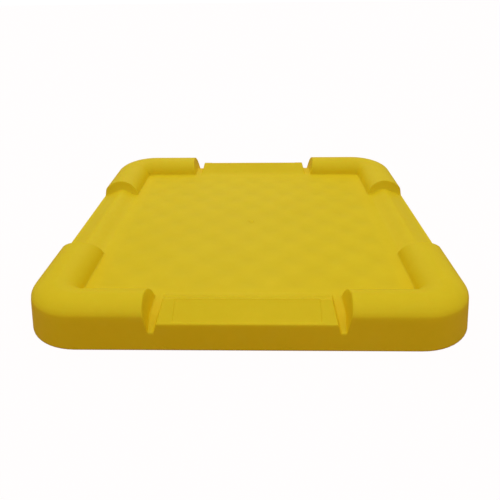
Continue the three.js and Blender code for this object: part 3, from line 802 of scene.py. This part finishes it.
for piece, body, node, slot in (
        (drain_fitting, "sump", "drain_body", "fitting_plastic"),
        (drain_gasket, "sump", "drain_gasket", "seal_rubber"),
        (drain_nut, "sump", "drain_locknut", "fitting_plastic"),
        (seal_ring, "seal_ring", "drain_seal_ring", "seal_rubber"),
        (drain_plug, "plug", "drain_plug", "plug_plastic")):
    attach(piece, body)
    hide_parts(node)
print("thread pitch", round(PITCH_MM, 3), "mm")

# %% [markdown]
# ## The vent plug
#
# A hollow deck has to breathe while it cools, so it has a hole in the middle. A small push-in plug
# closes it: a low round head that stands about a millimetre proud of the sunken sheet around it, and a
# stem with a barb.

# %% Build the vent plug
vent_low, vent_high = (corner[2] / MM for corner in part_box("deck_vent_plug"))
stem = [(0, 0), (3.4, 0), (4.2, 0.7), (6.3, 4), (6.5, 4.6), (6.5, 8.6), (6.1, 9), (5, 9)]
head = [(5, 2.5), (11.6, 2.5), (12, 2.1), (12, 1.5), (11.4, 0.9), (9.4, 0.1), (8.6, 0), (3.2, 0.3),
        (2.4, 0.9), (0, 0.9)]
vent_outline = np.array([(radius, vent_low + up) for radius, up in stem] +
                        [(radius, vent_high - down) for radius, down in head])
vent_plug = turned("vent_plug", vent_outline, 48)
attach(vent_plug, "deck")
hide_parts("deck_vent_plug")

# %% [markdown]
# ## A way to write materials
#
# A material is arithmetic on numbers that vary over the surface. The small class wraps one output
# socket, so that a sum on it adds the Math node for it. Everything else comes from `add`.

# %% Shader helpers
class Number:
    """One output socket of a shader node that carries a number, with arithmetic."""

    def __init__(self, socket):
        self.socket = socket

    def sum(self, operation, left, right):
        """One Math node on two numbers."""
        return add(self.socket.id_data, "Math", {"operation": operation}, {0: left, 1: right})

    def __add__(self, other):
        return self.sum("ADD", self, other)

    def __sub__(self, other):
        return self.sum("SUBTRACT", self, other)

    def __rsub__(self, other):
        return self.sum("SUBTRACT", other, self)

    def __mul__(self, other):
        return self.sum("MULTIPLY", self, other)

    def __pow__(self, other):
        return self.sum("POWER", self, other)

    __radd__ = __add__


def add(tree, kind, settings, inputs, output=0):
    """A node of the given kind; its settings are set first, then its sockets' values or links."""
    node = tree.nodes.new("ShaderNode" + kind)
    for name, value in settings.items():
        setattr(node, name, value)
    for name, value in inputs.items():
        if isinstance(value, Number):
            tree.links.new(value.socket, node.inputs[name])
        elif value is not None:
            node.inputs[name].default_value = value
    return Number(node.outputs[output])


def material(name, fixed):
    """A new material: its node tree, its shader node, with the values that are the same all over."""
    made = bpy.data.materials.new(name)
    made.use_nodes = True
    shader = made.node_tree.nodes["Principled BSDF"]
    for socket, value in fixed.items():
        shader.inputs[socket].default_value = value
    return made, made.node_tree, shader


def feed(tree, shader, **values):
    """Links numbers and colours to the shader's sockets; an underscore in a name is a space."""
    for name, value in values.items():
        tree.links.new(value.socket, shader.inputs[name.replace("_", " ")])


def noise(tree, place, scale, detail=2.0, roughness=0.5, distortion=0.0):
    """Noise between 0 and 1 at a place, with about `scale` blobs to the metre."""
    return add(tree, "TexNoise", {}, {"Vector": place, "Scale": scale, "Detail": detail,
                                      "Roughness": roughness, "Distortion": distortion}, "Fac")


def blend_colours(tree, amount, first, second):
    """A colour between two colours."""
    node = add(tree, "Mix", {"data_type": "RGBA"}, {"Factor": amount}, 2).socket.node
    for index, colour in ((6, first), (7, second)):
        if isinstance(colour, Number):
            tree.links.new(colour.socket, node.inputs[index])
        else:
            node.inputs[index].default_value = (*colour, 1.0)
    return Number(node.outputs[2])


def object_place(tree):
    """The place on the piece, in metres, in the pallet's own frame."""
    return add(tree, "TexCoord", {}, {}, "Object")


def sized(value, low, high, new_low, new_high):
    """A number stretched from one range to another, and held inside the new one."""
    tree = value.socket.id_data
    return add(tree, "MapRange", {"clamp": True}, {"Value": value, "From Min": low, "From Max": high,
                                                   "To Min": new_low, "To Max": new_high})


def bumped(tree, height, distance, strength=1.0, under=None):
    """A surface normal tilted by a height, `distance` metres tall at height 1."""
    return add(tree, "Bump", {}, {"Height": height, "Distance": distance, "Strength": strength,
                                  "Normal": under})


def finish(piece, made):
    """Gives a piece one material in every slot that it has."""
    if not piece.data.materials:
        piece.data.materials.append(made)
    for index in range(len(piece.data.materials)):
        piece.data.materials[index] = made


print("shader helpers ready")

# %% [markdown]
# ## Yellow polyethylene
#
# Moulded polyethylene is slightly waxy: light goes a little way in, and the colour turns orange where
# yellow faces light each other. The colour is even, with faint clouds; on the deck a faint painted
# shade darkens it over the fused cones, standing in for the shading of their dimples. The skin has
# the mould's fine, shallow grain, and its gloss is broken by that grain and by the rubbing a pallet
# gets in a stack.

# %% The deck's material
MARKS_END = 0.555                      # metres from the middle line, past the outermost cones


def chessboard(tree, place, step, reach):
    """Mask of the painted shade: 1 over every fused cone, 0 between them, 0 outside the field; two cosines
    multiplied.
    """
    axes = [add(tree, "SeparateXYZ", {}, {"Vector": place}, axis) for axis in "XY"]
    waves = [add(tree, "Math", {"operation": "COSINE"}, {0: axis * (math.pi / step)}) for axis in axes]
    away = [add(tree, "Math", {"operation": "ABSOLUTE"}, {0: axis}) for axis in axes]
    furthest = away[0].sum("MAXIMUM", away[0], away[1])
    return (waves[0] * waves[1] * 0.5 + 0.5) * sized(furthest, reach, reach + 0.02, 1.0, 0.0)


def yellow_polyethylene(name, painted_dip_shade):
    """The yellow of the deck; the flag adds a faint painted shade over the fused cones, for their dimples'
    shading.
    """
    made, tree, shader = material(name, {
        "Specular IOR Level": 0.14, "IOR": 1.5, "Subsurface Weight": 0.12,
        "Subsurface Radius": (0.012, 0.006, 0.0015), "Subsurface Scale": 0.6})
    place = object_place(tree)
    clouds = noise(tree, place, 3.1, 3.0, 0.55)
    mottle = noise(tree, place, 26.0, 4.0, 0.6)
    grain = noise(tree, place, 620.0, 2.0, 0.6)
    scuffs = noise(tree, place, 9.0, 6.0, 0.72, 1.2)
    colour = blend_colours(tree, sized(clouds, 0.3, 0.7, 0.0, 1.0),
                           (0.88, 0.645, 0.006), (0.91, 0.675, 0.009))
    colour = blend_colours(tree, sized(mottle, 0.35, 0.75, 0.0, 0.35), colour, (0.85, 0.615, 0.005))
    if painted_dip_shade:
        # Painted shade: over each fused cone the colour darkens a little, standing in for the shading of
        # its soft dimple.
        dip_shade_mask = chessboard(tree, place, MARK_STEP * MM, MARKS_END)
        dip_shade_colour = blend_colours(tree, clouds, (0.745, 0.535, 0.004), (0.76, 0.55, 0.006))
        colour = blend_colours(tree, dip_shade_mask * sized(clouds, 0.2, 0.8, 0.17, 0.33), colour, dip_shade_colour)
    rubbed = sized(scuffs, 0.52, 0.68, 0.0, 1.0)
    colour = blend_colours(tree, rubbed * 0.10, colour, (0.92, 0.73, 0.06))
    rough = 0.52 + rubbed * 0.10 + (mottle - 0.5) * 0.14 + (grain - 0.5) * 0.08
    broad = bumped(tree, mottle, 0.0008, 0.35)
    feed(tree, shader, Base_Color=colour, Roughness=rough,
         Normal=bumped(tree, grain, 0.00012, 0.8, broad))
    return made


deck_plastic = yellow_polyethylene("deck_plastic", True)
plain_plastic = yellow_polyethylene("plain_plastic", False)
finish(deck_shell, deck_plastic)
finish(deck_lower_wall, plain_plastic)
finish(vent_plug, plain_plastic)
print("deck material has", len(deck_plastic.node_tree.nodes), "nodes")

# %% [markdown]
# ## The other plastics and the rubber
#
# The sump is dark and the posts are grey; the fittings are harder and a little shinier; the rubber is
# nearly black, quite dull, and dusty in patches. One recipe serves them all: a colour with clouds and
# a paler rub, and a roughness that both disturb.

# %% Materials of the sump, the posts and the drain
def moulded(name, dark, light, rubbed_to, rough, grain_scale, grain_height):
    """Moulded plastic or rubber: clouds between two colours, rubbed patches, and a grained skin."""
    made, tree, shader = material(name, {"Specular IOR Level": 0.35, "IOR": 1.5})
    place = object_place(tree)
    clouds = noise(tree, place, 7.0, 4.0, 0.6)
    grain = noise(tree, place, grain_scale, 3.0, 0.6)
    rubs = noise(tree, place, 15.0, 6.0, 0.7, 1.5)
    rubbed = sized(rubs, 0.54, 0.70, 0.0, 1.0)
    colour = blend_colours(tree, sized(clouds, 0.3, 0.7, 0.0, 1.0), dark, light)
    colour = blend_colours(tree, rubbed * 0.35, colour, rubbed_to)
    roughness = rough + (clouds - 0.5) * 0.12 + rubbed * 0.12 + (grain - 0.5) * 0.10
    feed(tree, shader, Base_Color=colour, Roughness=roughness,
         Normal=bumped(tree, grain, grain_height, 0.7))
    return made


sump_plastic = moulded("sump_plastic", (0.020, 0.022, 0.024), (0.027, 0.029, 0.032),
                       (0.055, 0.057, 0.060), 0.50, 520.0, 0.00018)
post_plastic = moulded("post_plastic", (0.145, 0.155, 0.160), (0.175, 0.185, 0.190),
                       (0.26, 0.27, 0.275), 0.48, 620.0, 0.00014)
fitting_plastic = moulded("fitting_plastic", (0.120, 0.128, 0.135), (0.150, 0.158, 0.165),
                          (0.24, 0.25, 0.26), 0.38, 1400.0, 0.00006)
plug_plastic = moulded("plug_plastic", (0.33, 0.018, 0.010), (0.39, 0.025, 0.014),
                       (0.48, 0.09, 0.06), 0.36, 1400.0, 0.00006)
seal_rubber = moulded("seal_rubber", (0.010, 0.010, 0.010), (0.016, 0.016, 0.016),
                      (0.045, 0.043, 0.040), 0.68, 1800.0, 0.00008)
finish(sump, sump_plastic)
for post in posts:
    finish(post, post_plastic)
for piece, made in ((drain_fitting, fitting_plastic), (drain_nut, fitting_plastic),
                    (drain_gasket, seal_rubber), (seal_ring, seal_rubber), (drain_plug, plug_plastic)):
    finish(piece, made)
print(len(bpy.data.materials), "materials")

# %% [markdown]
# ## Floor, light and camera
#
# The floor has two looks. Straight from the camera it is an over-exposed white, like the sky behind
# it. To all other light it is a reddish brown, so what it throws back is dim and warm, and the skirt
# stays darker than the top. The rest is soft light from above and a weak lamp behind. On a floor that
# is really pale, the skirt would be lighter.

# %% Stage
def make_floor():
    """A wide flat floor with its own colour for light, and plain white for the camera."""
    # Half a millimetre under the pallet, so that the sump's flat underside never flickers into it.
    half, low = 30000.0, -0.5
    corners = [[-half, -half, low], [half, -half, low], [half, half, low], [-half, half, low]]
    floor = make_piece("floor", corners, np.array([[0, 1, 2, 3]]))
    made, tree, shader = material("floor", {"Roughness": 0.9, "Specular IOR Level": 0.1})
    tint = noise(tree, object_place(tree), 0.7)
    feed(tree, shader, Base_Color=blend_colours(tree, tint, (0.50, 0.20, 0.20), (0.54, 0.22, 0.22)))
    seen = add(tree, "LightPath", {}, {}, "Is Camera Ray")
    glow = add(tree, "Emission", {}, {"Color": (1, 1, 1, 1), "Strength": 1.12})
    both = add(tree, "MixShader", {}, {"Fac": seen * 0.86, 1: Number(shader.outputs[0]), 2: glow})
    tree.links.new(both.socket, tree.nodes["Material Output"].inputs["Surface"])
    finish(floor, made)


def aim(position, target):
    """Rotation that looks from position to target, as Euler angles."""
    return (Vector(target) - Vector(position)).to_track_quat("-Z", "Y").to_euler()


def soft_light(name, position, target, size, power):
    """A round area lamp that looks at a target."""
    data = bpy.data.lights.new(name, "AREA")
    data.shape, data.size, data.energy = "DISK", size, power
    lamp = bpy.data.objects.new(name, data)
    lamp.location, lamp.rotation_euler = position, aim(position, target)
    bpy.context.scene.collection.objects.link(lamp)


def studio_dome(low, high, sharpness, low_colour, high_colour):
    """World light that is low at the horizon and grows towards straight up, as a power of height.

    Behind the pallet it shows as the same over-exposed white as the floor.
    """
    world = bpy.data.worlds.new("studio")
    bpy.context.scene.world = world
    world.use_nodes = True
    tree = world.node_tree
    direction = add(tree, "TexCoord", {}, {}, "Generated")
    up = add(tree, "SeparateXYZ", {}, {"Vector": direction}, "Z")
    held = add(tree, "Clamp", {}, {"Value": up})
    seen = add(tree, "LightPath", {}, {}, "Is Camera Ray")
    strength = (low + (held ** sharpness) * high) * (1 - seen) + seen * 1.05
    tree.links.new(strength.socket, tree.nodes["Background"].inputs["Strength"])
    colour = blend_colours(tree, held, low_colour, high_colour)
    colour = blend_colours(tree, seen, colour, (1.0, 1.0, 1.0))
    tree.links.new(colour.socket, tree.nodes["Background"].inputs["Color"])


make_floor()
studio_dome(0.33, 1.13, 4.0, (1.0, 0.98, 0.94), (1.0, 0.99, 0.97))
soft_light("behind", (-0.4, 3.0, 2.6), (0, 0.3, 0), 2.2, 10)
bpy.context.scene.view_settings.view_transform = "Standard"

CAMERA_AT = (0.0469, -1.9945, 1.0752)
PITCH, YAW, ROLL = 29.84, -1.55, -0.76
LENS = 33.68


def make_camera():
    """The camera, first turned and pitched, then rolled about its own line of sight."""
    data = bpy.data.cameras.new("camera")
    data.lens, data.sensor_width = LENS, 36.0
    camera = bpy.data.objects.new("camera", data)
    bpy.context.scene.collection.objects.link(camera)
    camera.location = CAMERA_AT
    yaw = Euler((0, 0, math.radians(-YAW))).to_matrix()
    pitch = Euler((math.radians(90 - PITCH), 0, 0)).to_matrix()
    roll = Euler((0, 0, math.radians(ROLL))).to_matrix()
    camera.rotation_euler = (yaw @ pitch @ roll).to_euler()
    bpy.context.scene.camera = camera


make_camera()
